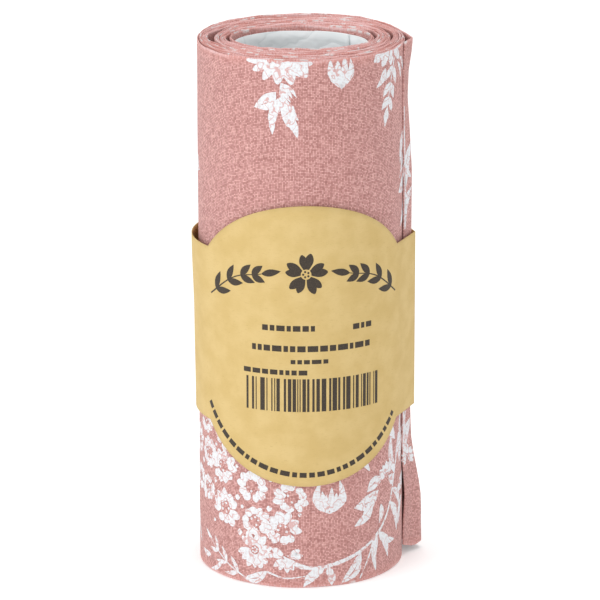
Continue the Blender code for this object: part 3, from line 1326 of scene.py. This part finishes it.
    def bell(self, foot: Point, angle: float, height: float, half_width: float) -> None:
        """A cup-shaped flower with a full base and four raised petals.

        Args:
            foot: Where it joins its stem.
            angle: Where it points.
            height: Its height.
            half_width: Its half width.
        """
        for side in (-1.0, 1.0):
            outwards = angle + side * 90.0
            belly = self.away(self.away(foot, angle, height * 0.42), outwards, half_width * 0.76)
            tip = self.away(self.away(foot, angle, height), outwards, half_width * 0.60)
            self.stroke((foot, belly, tip), half_width * 0.26, Outline.LEAF)
        for across, reach in ((-0.42, 0.62), (-0.12, 0.80), (0.20, 0.58), (0.46, 0.70)):
            off = half_width * across
            start = self.away(self.away(foot, angle, height * 0.04), angle + 90.0, off * 0.5)
            tip = self.away(self.away(foot, angle, height * reach), angle + 90.0, off)
            self.stroke((start, tip), half_width * 0.19, Outline.LEAF)

    def stem(self, spine: Sequence[Point], half_width: float = 0.28) -> None:
        """A thin stem that tapers towards its end."""
        self.stroke(spine, half_width, Outline.STEM)

    def sprig(self, spine: Sequence[Point], leaves: int, length: float, half_width: float) -> None:
        """A stem with pairs of leaves that point along it and one at its end.

        Args:
            spine: The points that the stem passes.
            leaves: How many pairs it has.
            length: The length of a leaf.
            half_width: The half width of a leaf.
        """
        self.stem(spine, 0.22)
        steps = 24
        line = curve_through(spine, steps)
        for pair in range(leaves):
            index = round(steps * (pair + 0.6) / (leaves + 0.3))
            ahead, here = line[min(index + 1, steps)], line[index]
            heading = math.degrees(math.atan2(ahead[1] - here[1], ahead[0] - here[0]))
            for side in (-1.0, 1.0):
                tip = self.away(here, heading + side * 33.0, length * (1.0 - 0.08 * pair))
                self.leaf(here, tip, half_width, 0.03 * side)
        before, last = line[-2], line[-1]
        heading = math.degrees(math.atan2(last[1] - before[1], last[0] - before[0]))
        self.leaf(last, self.away(last, heading, length), half_width, 0.0)

    def bar(self, left: float, right: float, low: float, high: float) -> None:
        """An upright rectangle."""
        middle = (left + right) / 2
        self.stroke(((middle, low), (middle, high)), (right - left) / 2, Outline.BAR)

    def lay(
        self, name: str, place: Place, lift: float, material: bpy.types.Material
    ) -> bpy.types.Object:
        """Lay the strokes on a sheet.

        Args:
            name: The piece's name.
            place: Says where a flat point of the sheet's face is, with a lift off it.
            lift: How far the print's face stands off the sheet.
            material: The print's finish.

        Returns:
            The print, as thin closed strokes that are sunk a little into the sheet.
        """
        mesh = bpy.data.meshes.new(name)
        mesh.from_pydata([place(x * MM, y * MM, lift) for x, y in self.points], [], self.faces)
        map_cloth(mesh, np.array(self.points))
        bm = bmesh.new()
        bm.from_mesh(mesh)
        bmesh.ops.dissolve_degenerate(bm, dist=0.004 * MM, edges=bm.edges)
        bmesh.ops.recalc_face_normals(bm, faces=bm.faces)
        bm.normal_update()
        for face in bm.faces:
            middle = face.calc_center_median()
            if face.normal.dot(Vector((middle.x, middle.y, 0.0))) < 0.0:
                face.normal_flip()
        bm.to_mesh(mesh)
        bm.free()
        made = new_object(name, mesh, material)
        mesh.shade_flat()
        thickness = made.modifiers.new("Ink", "SOLIDIFY")
        thickness.thickness = lift * 1.8
        thickness.offset = -1.0
        return made


@dataclass
class ClothRoll:
    """The wound ribbon, its loose end and the flowers printed on its outer face."""

    path: RibbonPath
    finish: CottonFinish = CottonFinish()
    ink: FabricInkFinish = FabricInkFinish()
    wound_step: float = 5.0
    outer_step: float = 2.5
    fine_turns: float = 1.1
    loose_step: float = 0.7 * MM
    edge_waver: float = 0.46 * MM
    lean: float = 0.55 * MM
    mean_radius: float = 24.0
    settling: float = 6.0
    foot_rise: float = 0.16 * MM
    ink_lift: float = 0.045 * MM
    print_repeat: float = 87.0
    rows: tuple[float, ...] = (
        0.0, 0.0012, 0.006, 0.02, 0.05, 0.08, 0.11, 0.14, 0.17, 0.20, 0.23, 0.26, 0.30, 0.36,
        0.46, 0.56, 0.66, 0.75, 0.83, 0.89, 0.94, 0.975, 0.992, 0.9988, 1.0,
    )

    def stations(self) -> list[float]:
        """The places along the ribbon that get a ring of the mesh.

        Returns:
            The places in turns, closer together on the outermost turn and the loose end.
        """
        path = self.path
        fine_from = path.total_turns - self.fine_turns
        coarse = np.arange(0.0, fine_from, self.wound_step / 360.0)
        fine = np.arange(fine_from, path.total_turns, self.outer_step / 360.0)
        count = math.ceil(path.loose_length / self.loose_step)
        loose = np.linspace(path.total_turns, path.end, count + 1)
        return [float(place) for place in (*coarse, *fine, *loose)]

    def edges(self, turns: float) -> Point:
        """The heights of the lower and the upper edge, which waver a little along the ribbon.

        Args:
            turns: The place along the ribbon.

        Returns:
            The lower and the upper edge's height.
        """
        path = self.path
        along = turns * math.tau * self.mean_radius
        inward = max(1.0 - turns / path.total_turns, 0.0)
        leaning = -self.lean * inward * math.sin(math.radians(path.winding_angle(turns)))
        settled = smooth((path.end - turns) * self.settling)
        upper = wander(1.7, along, 0.11) + 0.5 * wander(5.2, along, 0.43)
        lower = abs(wander(8.4, along, 0.10)) * 0.6 * self.edge_waver
        return self.foot_rise + lower, path.width + (upper * self.edge_waver + leaning) * settled

    def sheet(self) -> bpy.types.Object:
        """Sweep the ribbon itself along its path.

        Returns:
            The ribbon, as one closed sheet.
        """
        path = self.path
        builder = SheetBuilder("cotton_ribbon", self.finish.material())
        along, before = 0.0, None
        for turns in self.stations():
            half = path.cloth_thickness(turns) / 2
            low, high = self.edges(turns)
            heights = [low + (high - low) * share for share in self.rows]
            outer = [path.face(turns, height, half) for height in heights]
            inner = [path.face(turns, height, -half) for height in heights]
            here = outer[len(outer) // 2]
            along += 0.0 if before is None else (here - before).length
            before = here
            builder.add_ring(outer, inner, along, [share * path.width for share in self.rows])
        log.info("cotton ribbon: %.3f m along its outer face", along)
        return builder.build()

    def printed_place(self, across: float, height: float, lift: float) -> Vector:
        """A point on the printed face of the mesh, which is straight from one row to the next.

        Args:
            across: The distance round the roll, positive to the right of the label's middle.
            height: The height above the ribbon's lower edge.
            lift: How far the point stands off the cloth.

        Returns:
            The point in the frame.
        """
        path = self.path
        turns = path.turns_at(across)
        low, high = self.edges(turns)
        rows = [low + (high - low) * share for share in self.rows]
        height = min(max(height, rows[0]), rows[-1])
        above = min(max(bisect.bisect(rows, height), 1), len(rows) - 1)
        outward = path.cloth_thickness(turns) / 2 + lift
        under, over = (path.face(turns, rows[row], outward) for row in (above - 1, above))
        return under.lerp(over, (height - rows[above - 1]) / (rows[above] - rows[above - 1]))

    def hanging_flowers(self, pen: Pen) -> None:
        """The flowers and leaves that hang from the upper edge at the front.

        Args:
            pen: The pen that draws them.
        """
        for start, end, half in (
            ((-9.4, 149.8), (-15.6, 149.6), 0.9),
            ((-8.8, 149.4), (-13.6, 147.0), 1.0),
            ((-7.4, 149.6), (-10.6, 144.6), 1.25),
            ((-5.8, 150.0), (-6.6, 143.6), 1.75),
            ((-4.0, 150.0), (-2.6, 143.6), 1.75),
            ((-2.4, 150.4), (1.6, 145.8), 2.1),
            ((-1.4, 150.6), (3.0, 149.4), 1.2),
        ):
            pen.stroke((start, end), half, Outline.PETAL)
        pen.veined_leaf((-7.0, 141.4), (-13.2, 136.8), 1.9)
        pen.tulip((-5.6, 144.0), 302.0, 6.0, 1.9)
        pen.leaf((-5.0, 140.4), (-8.0, 129.6), 1.5, -0.12)
        pen.leaf((-5.2, 140.2), (-0.8, 133.8), 1.75, -0.12)
        pen.leaf((-5.4, 135.0), (-1.0, 128.8), 1.35, 0.14)
        pen.tulip((11.2, 142.0), 92.0, 9.4, 3.7)
        for start, end, half in (
            ((27.0, 151.0), (21.8, 148.0), 1.5),
            ((28.0, 150.2), (25.0, 146.2), 1.35),
            ((29.4, 150.0), (29.2, 145.8), 1.1),
            ((30.8, 150.6), (34.6, 146.6), 1.4),
            ((31.6, 151.2), (36.4, 150.4), 1.2),
        ):
            pen.stroke((start, end), half, Outline.PETAL)
        pen.sprig(((31.2, 147.6), (29.2, 141.0), (27.6, 134.4)), 3, 5.4, 1.05)
        pen.leaf((26.6, 145.6), (22.8, 140.6), 1.0)
        pen.leaf((33.4, 146.0), (36.0, 140.6), 0.7)
        pen.leaf((35.0, 147.0), (38.4, 142.6), 0.7)

    def edge_flowers(self, pen: Pen) -> None:
        """Single leaves and buds at the right, half hidden by the loose end.

        Args:
            pen: The pen that draws them.
        """
        pen.leaf((40.6, 126.0), (36.0, 116.6), 1.7, -0.1)
        pen.leaf((38.6, 119.0), (35.4, 112.6), 1.0)
        pen.veined_leaf((42.0, 113.6), (34.8, 108.6), 2.2)
        pen.leaf((41.0, 107.6), (36.4, 98.6), 1.5, 0.1)
        pen.leaf((-44.0, 112.6), (-38.4, 114.2), 0.8)
        pen.leaf((-43.0, 118.0), (-40.0, 113.6), 0.7)

    def flower_cluster(self, pen: Pen) -> None:
        """The dense cluster of small flowers at the lower left.

        Args:
            pen: The pen that draws them.
        """
        for x, z, radius, turn in (
            (-33.4, 44.4, 4.6, 10.0),
            (-31.6, 34.6, 4.8, 50.0),
            (-24.6, 32.4, 5.2, 20.0),
            (-24.0, 41.6, 4.4, 64.0),
            (-23.6, 20.6, 5.4, 36.0),
            (-32.4, 24.2, 4.4, 0.0),
            (-14.2, 28.4, 5.2, 12.0),
            (-13.4, 18.6, 4.8, 48.0),
            (-2.8, 26.2, 4.9, 30.0),
            (-5.2, 17.0, 5.3, 8.0),
            (-40.4, 36.0, 4.6, 30.0),
            (-39.6, 25.4, 4.4, 12.0),
            (-17.4, 38.2, 4.0, 44.0),
        ):
            pen.rosette((x, z), radius, turn)
        pen.blossom((-13.4, 10.2), 5.6, (64.0, 128.0, 206.0, 258.0, 304.0, 0.0))
        pen.blossom((-4.2, 9.0), 4.6, (18.0, 162.0, 232.0, 286.0))
        buds = ((-19.0, 24.6), (-9.0, 22.8), (-8.6, 31.4), (-28.2, 27.4), (-18.2, 14.6), (-36.0, 31.0))
        for bud in buds:
            pen.dot(bud, 0.85)
        seeds = ((-27.6, 38.0), (-19.2, 33.6), (-17.4, 22.2), (-8.8, 14.4), (-28.6, 15.6), (-0.4, 21.4))
        for seed in seeds:
            pen.dot(seed, 0.55)

    def lower_branch(self, pen: Pen) -> None:
        """The branch that rises from the lower edge to the right, with its bell and leaves.

        Args:
            pen: The pen that draws them.
        """
        pen.bell((8.0, 21.4), 90.0, 9.6, 4.8)
        level = ((-4.8, 8.6), (1.0, 6.0), (7.0, 6.0), (16.5, 8.6))
        rising = ((25.0, 13.4), (30.0, 20.0), (33.4, 31.0))
        pen.stem((*level, *rising), 0.62)
        pen.stem(((33.4, 31.0), (35.6, 38.0), (38.6, 44.0)), 0.5)
        pen.veined_leaf((24.4, 25.4), (15.4, 22.0), 2.0)
        pen.veined_leaf((26.0, 28.6), (19.8, 25.8), 1.6, -0.12)
        pen.blossom((28.6, 28.4), 4.6, (60.0, 110.0, 160.0, 330.0))
        pen.leaf((22.0, 22.6), (15.6, 16.6), 1.5)
        pen.leaf((25.6, 21.0), (24.8, 15.6), 1.0)
        pen.leaf((33.0, 28.0), (30.4, 40.0), 1.4, 0.1)
        pen.leaf((34.6, 33.0), (37.0, 45.0), 1.2, -0.1)
        pen.leaf((31.6, 24.0), (37.4, 17.0), 1.2)
        pen.leaf((30.4, 20.4), (34.8, 10.6), 1.3)
        pen.stem(((22.6, 12.2), (21.0, 7.6), (17.4, 1.0)), 0.32)
        pen.leaf((24.0, 12.6), (23.4, 2.0), 1.2, -0.1)
        pen.leaf((24.6, 13.0), (29.0, 4.6), 1.3, 0.12)
        pen.veined_leaf((17.8, 8.8), (11.4, 0.4), 1.6)
        pen.leaf((26.0, 12.4), (33.0, 8.6), 1.1, -0.14)
        pen.leaf((6.4, 5.4), (0.6, 0.3), 1.5, -0.1)
        pen.leaf((7.4, 5.6), (8.6, 0.3), 1.3, 0.1)
        pen.veined_leaf((37.0, 30.0), (41.0, 41.0), 2.0, 0.1)
        pen.veined_leaf((35.0, 22.0), (41.6, 26.6), 1.8, -0.1)
        pen.leaf((33.0, 38.0), (29.4, 46.0), 1.4, 0.1)
        pen.leaf((36.0, 12.0), (40.0, 20.0), 1.3, 0.1)
        pen.leaf((22.4, 37.0), (17.6, 41.6), 0.9)
        pen.leaf((20.8, 31.8), (16.4, 35.6), 0.8, -0.12)

    def lower_sprigs(self, pen: Pen) -> None:
        """Thin sprigs along the lower edge at the left.

        Args:
            pen: The pen that draws them.
        """
        pen.sprig(((-16.6, 1.6), (-23.0, 4.4), (-29.6, 8.6)), 3, 5.4, 0.62)
        pen.leaf((-31.0, 4.6), (-36.4, 5.0), 1.0)
        pen.leaf((-25.4, 4.2), (-30.8, 0.6), 0.7)
        pen.leaf((-38.6, 6.0), (-42.4, 16.0), 0.7)
        pen.veined_leaf((-9.6, 4.4), (-17.2, 1.2), 1.3)
        pen.stem(((-9.6, 4.2), (-4.6, 2.8), (1.0, 3.4)), 0.3)

    def hidden_flowers(self, pen: Pen) -> None:
        """The print under the label, which shows once the band is off.

        Args:
            pen: The pen that draws them.
        """
        pen.stem(((-29.0, 50.0), (-22.0, 62.0), (-9.0, 74.0), (-3.0, 88.0), (-5.0, 102.0)), 0.34)
        pen.sprig(((-22.0, 62.0), (-27.0, 70.0), (-36.0, 76.0)), 4, 6.0, 1.2)
        pen.sprig(((-9.0, 74.0), (0.0, 78.0), (9.0, 88.0)), 4, 6.4, 1.2)
        pen.blossom((12.6, 66.0), 9.0, (18.0, 90.0, 162.0, 234.0, 306.0))
        pen.stem(((12.6, 58.0), (10.0, 46.0), (8.6, 32.0)), 0.34)
        pen.veined_leaf((10.6, 50.0), (20.0, 44.0), 1.8)
        pen.veined_leaf((10.0, 46.0), (0.0, 42.0), 1.8, -0.12)
        pen.blossom((-14.0, 92.0), 6.4, (40.0, 112.0, 184.0, 256.0, 328.0))
        rosettes = ((30.0, 60.0, 10.0), (36.0, 70.0, 40.0), (27.0, 74.0, 22.0), (34.0, 82.0, 0.0))
        for x, z, turn in rosettes:
            pen.rosette((x, z), 4.8, turn)
        pen.tulip((20.0, 84.0), 80.0, 9.0, 3.4)

    def loose_end_flowers(self, pen: Pen) -> None:
        """The print on the last stretch, past the crease, which faces the front.

        Args:
            pen: The pen that draws them.
        """
        for low, high in ((97.0, 132.0), (30.0, 44.0)):
            pen.bar(-141.9, -140.5, low, high)
        pen.veined_leaf((-141.0, 108.0), (-136.0, 121.0), 1.9)
        pen.veined_leaf((-137.2, 111.0), (-141.6, 117.6), 1.2)
        pen.leaf((-141.4, 102.0), (-136.6, 108.2), 1.0)
        pen.leaf((-141.0, 97.0), (-137.0, 106.6), 0.8)
        pen.veined_leaf((-140.6, 31.4), (-136.8, 41.0), 2.0)
        pen.leaf((-140.8, 36.0), (-139.2, 44.0), 1.0)
        pen.blossom((-139.0, 30.0), 3.6, (30.0, 90.0, 150.0, 205.0, 335.0))

    def printing(self) -> bpy.types.Object:
        """Print the outer face, with the same motifs again at the back.

        Returns:
            All that is printed, as one thin piece.
        """
        pen = Pen()
        for repeat in range(2):
            pen.shift = -repeat * self.print_repeat
            self.hanging_flowers(pen)
            self.edge_flowers(pen)
            self.flower_cluster(pen)
            self.lower_branch(pen)
            self.lower_sprigs(pen)
            self.hidden_flowers(pen)
        pen.shift = 0.0
        self.loose_end_flowers(pen)
        return pen.lay("ribbon_print", self.printed_place, self.ink_lift, self.ink.material())

    def build(self) -> None:
        """Build and dress the roll, and hang it on its body."""
        ribbon = self.sheet()
        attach(ribbon, Body.ROLL.value)
        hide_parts("fabric_strip")
        printing = self.printing()
        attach(printing, Body.ROLL.value)
        counts = (len(ribbon.data.polygons), len(printing.data.polygons))
        log.info("cotton ribbon: %d faces, print: %d", *counts)


@dataclass
class LabelBand:
    """The kraft paper band with its round lobe and the generic print on it."""

    path: BandPath
    finish: KraftFinish = KraftFinish()
    ink: LabelInkFinish = LabelInkFinish()
    column_angle: float = 2.5
    least_column: float = 0.6
    row_count: int = 26
    rim_crowding: float = 0.35
    ink_lift: float = 0.02 * MM
    word_rows: tuple[tuple[float, float, float, float], ...] = (
        (-12.2, 3.0, 5.4, 0.80),
        (13.4, 19.8, 5.0, 0.80),
        (-15.2, 19.8, -0.4, 0.85),
        (-4.2, 7.2, -4.1, 0.60),
        (-17.8, 1.6, -7.2, 0.70),
    )
    least_word: float = 0.8
    word_gap: float = 0.55
    bars_across: Point = (-17.0, 21.9)
    bars_up: Point = (-18.4, -9.0)
    bar_widths: tuple[float, ...] = (0.28, 0.28, 0.34, 0.62, 0.95, 1.3)
    bar_gaps: tuple[float, ...] = (0.34, 0.5, 0.8, 1.1)
    least_bar: float = 0.3
    dash_radius: float = 36.7
    dash_angles: Point = (212.0, 322.0)
    dash_half: float = 0.72
    dash_gap_angle: float = 1.1

    def angles(self) -> list[float]:
        """Where the columns of the mesh are, with one at each notch beside the lobe.

        Returns:
            Their swept angles, rising.
        """
        path = self.path
        count = round(path.sweep / self.column_angle)
        swept = {step * path.sweep / count for step in range(count + 1)}
        for side in (-1.0, 1.0):
            notch = path.start_angle - (path.lobe_angle + side * path.notch_angle)
            swept = {place for place in swept if abs(place - notch % 360.0) > self.least_column}
            swept.add(notch % 360.0)
        return sorted(swept)

    def sheet(self) -> bpy.types.Object:
        """Sweep the paper along its path.

        Returns:
            The paper, as one closed sheet.
        """
        path = self.path
        builder = SheetBuilder("paper_band", self.finish.material(), rim_share=0.15)
        even = [row / self.row_count for row in range(self.row_count + 1)]
        shares = [share + self.rim_crowding * (smooth(share) - share) for share in even]
        for swept in self.angles():
            half = path.half_height(path.start_angle - swept)
            heights = [path.middle_height + half * (2 * share - 1.0) for share in shares]
            outer = [path.face(swept, height, path.thickness / 2) for height in heights]
            inner = [path.face(swept, height, -path.thickness / 2) for height in heights]
            builder.add_ring(outer, inner, math.radians(swept) * path.round_radius, heights)
        return builder.build()

    def ornament(self, pen: Pen) -> None:
        """Two leafy branches with a flower between them, where a maker would put a mark.

        Args:
            pen: The pen that draws it.
        """
        for side in (-1.0, 1.0):
            branch = ((side * 30.0, 12.0), (side * 21.0, 18.4), (side * 12.4, 20.4))
            pen.sprig(branch, 4, 5.6, 1.0)
        pen.blossom((0.0, 20.8), 6.0, (18.0, 90.0, 162.0, 234.0, 306.0))

    def words(self, pen: Pen) -> None:
        """Rows of plain dashes in the place of the label's words.

        Args:
            pen: The pen that draws them.
        """
        rng = random.Random(7)
        for left, end, level, half in self.word_rows:
            while left < end - self.least_word:
                right = min(left + rng.uniform(1.0, 3.0), end)
                pen.stroke(((left, level), (right, level)), half, Outline.BAR)
                left = right + self.word_gap

    def bars(self, pen: Pen) -> None:
        """A block of plain upright bars of uneven width.

        Args:
            pen: The pen that draws them.
        """
        rng = random.Random(11)
        left, end = self.bars_across
        while left < end - self.least_bar:
            width = rng.choice(self.bar_widths)
            pen.bar(left, min(left + width, end), *self.bars_up)
            left += width + rng.choice(self.bar_gaps)

    def rim_dashes(self, pen: Pen) -> None:
        """A curved row of dashes inside the lower edge of the lobe.

        Args:
            pen: The pen that draws them.
        """
        rng = random.Random(5)
        angle, end = self.dash_angles
        while angle < end:
            reach = rng.uniform(1.8, 4.4)
            stops = [angle, angle + reach / 2, angle + reach]
            spine = [Pen.away((0.0, 0.0), stop, self.dash_radius) for stop in stops]
            pen.stroke(spine, self.dash_half, Outline.BAR)
            angle += reach + self.dash_gap_angle

    def printing(self) -> bpy.types.Object:
        """Print the label.

        Returns:
            All that is printed on it, as one thin piece.
        """
        pen = Pen(cell=1.6, unevenness=0.03)
        self.ornament(pen)
        self.words(pen)
        self.bars(pen)
        self.rim_dashes(pen)
        return pen.lay("label_print", self.path.printed_face, self.ink_lift, self.ink.material())

    def build(self) -> None:
        """Build and dress the band, and hang it on its body."""
        band = self.sheet()
        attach(band, Body.BAND.value)
        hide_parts("label_band")
        printing = self.printing()
        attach(printing, Body.BAND.value)


@dataclass
class CardCore:
    """The rolled card that the ribbon is wound on."""

    path: CorePath
    finish: CardFinish = CardFinish()
    column_angle: float = 3.0
    row_count: int = 64

    def build(self) -> None:
        """Build and dress the core, and hang it on its body."""
        path = self.path
        builder = SheetBuilder("rolled_card", self.finish.material(), rim_share=0.12)
        count = round(path.sweep / self.column_angle)
        heights = [float(height) for height in np.linspace(path.base, path.top, self.row_count + 1)]
        length = 0.0
        for column in range(count + 1):
            swept = path.sweep * column / count
            outer = [path.face(swept, height, path.thickness / 2) for height in heights]
            inner = [path.face(swept, height, -path.thickness / 2) for height in heights]
            if column:
                length += (outer[0] - builder.rings[-1][0]).length
            builder.add_ring(outer, inner, length, heights)
        card = builder.build()
        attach(card, Body.CORE.value)
        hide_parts("core_card")
        log.info("rolled card: %.0f mm of card", length / MM)


@dataclass
class GlueLine:
    """The dried glue between the band's lapped ends, which keeps its own solid."""

    finish: GlueFinish = GlueFinish()

    def build(self) -> None:
        """Dress the glue."""
        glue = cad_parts["band_glue"]
        material = self.finish.material()
        if glue.material_slots:
            for slot in glue.material_slots:
                slot.material = material
        else:
            glue.data.materials.append(material)
        log.info("glue line: dressed")


@dataclass
class Studio:
    """The pale floor, the soft lights and the camera."""

    view_width: float = 167.3 * MM
    distance: float = 1.3
    elevation: float = 16.5
    aside: float = -2.3 * MM
    below: float = -0.25 * MM
    sensor: float = 36.0
    world: float = 0.62
    floor_size: float = 12.0
    floor_level: float = -0.02 * MM
    clip: Point = (0.05, 50.0)
    lamps: tuple[tuple[str, tuple[float, float, float], float, float], ...] = (
        ("window_left", (-1.3, -0.8, 0.7), 1.0, 10.5),
        ("softbox_front", (0.6, -1.4, 0.7), 0.9, 3.6),
        ("softbox_above", (0.1, 0.25, 1.5), 1.2, 8.5),
    )

    def light(
        self, name: str, place: Sequence[float], size: float, power: float, target: Vector
    ) -> None:
        """Add a soft square light.

        Args:
            name: Its name.
            place: Where it hangs.
            size: Its side.
            power: Its power in watts.
            target: The point that it faces.
        """
        data = bpy.data.lights.new(name, "AREA")
        data.size = size
        data.energy = power
        lamp = bpy.data.objects.new(name, data)
        lamp.location = place
        lamp.rotation_euler = (target - Vector(place)).to_track_quat("-Z", "Y").to_euler()
        bpy.context.scene.collection.objects.link(lamp)

    def build(self) -> None:
        """Set the scene round the object."""
        scene = bpy.context.scene
        scene.view_settings.view_transform = "Standard"
        low, high = CAD_BOX
        middle = (low + high) / 2
        target = middle + Vector((self.aside, 0.0, self.below))
        world = bpy.data.worlds.new("studio_world")
        world.use_nodes = True
        background = world.node_tree.nodes["Background"]
        background.inputs["Color"].default_value = (1.0, 1.0, 1.0, 1.0)
        background.inputs["Strength"].default_value = self.world
        scene.world = world
        for lamp in self.lamps:
            self.light(*lamp, target)
        bpy.ops.mesh.primitive_plane_add(size=self.floor_size)
        floor = bpy.context.object
        floor.name = "studio_floor"
        floor.location.z = self.floor_level
        floor.data.materials.append(FloorFinish().material())
        data = bpy.data.cameras.new("camera")
        data.sensor_width = self.sensor
        data.lens = self.sensor * self.distance / self.view_width
        camera = bpy.data.objects.new("camera", data)
        tilt = math.radians(self.elevation)
        back = Vector((0.0, -math.cos(tilt), math.sin(tilt)))
        camera.location = target + back * self.distance
        camera.rotation_euler = (-back).to_track_quat("-Z", "Y").to_euler()
        data.clip_start, data.clip_end = self.clip
        scene.collection.objects.link(camera)
        scene.camera = camera


def roll_paths() -> tuple[RibbonPath, BandPath, CorePath]:
    """The paths of the three sheets, set out from the frame.

    Returns:
        The ribbon's, the band's and the core's path.
    """
    strip_low, strip_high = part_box("fabric_strip")
    band_low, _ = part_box("label_band")
    card_low, card_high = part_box("core_card")
    width = round((strip_high.z - strip_low.z) / MM) * MM
    trial = BandPath(RibbonPath(width, Vector()))
    left = trial.radius(trial.slack_angle, 0.0) + trial.thickness / 2
    front = trial.radius(FRONT, 0.0) + trial.thickness / 2
    axis = Vector((band_low.x + left, band_low.y + front, 0.0))
    ribbon = RibbonPath(width, axis)
    return ribbon, BandPath(ribbon), CorePath(ribbon, card_low.z, card_high.z)


def main() -> None:
    """Build every piece in order and report it."""
    logging.basicConfig(level=logging.INFO, format="%(name)s: %(message)s")
    ribbon, band, core = roll_paths()
    Studio().build()
    ClothRoll(ribbon).build()
    CardCore(core).build()
    LabelBand(band).build()
    GlueLine().build()


if __name__ == "__main__":
    main()
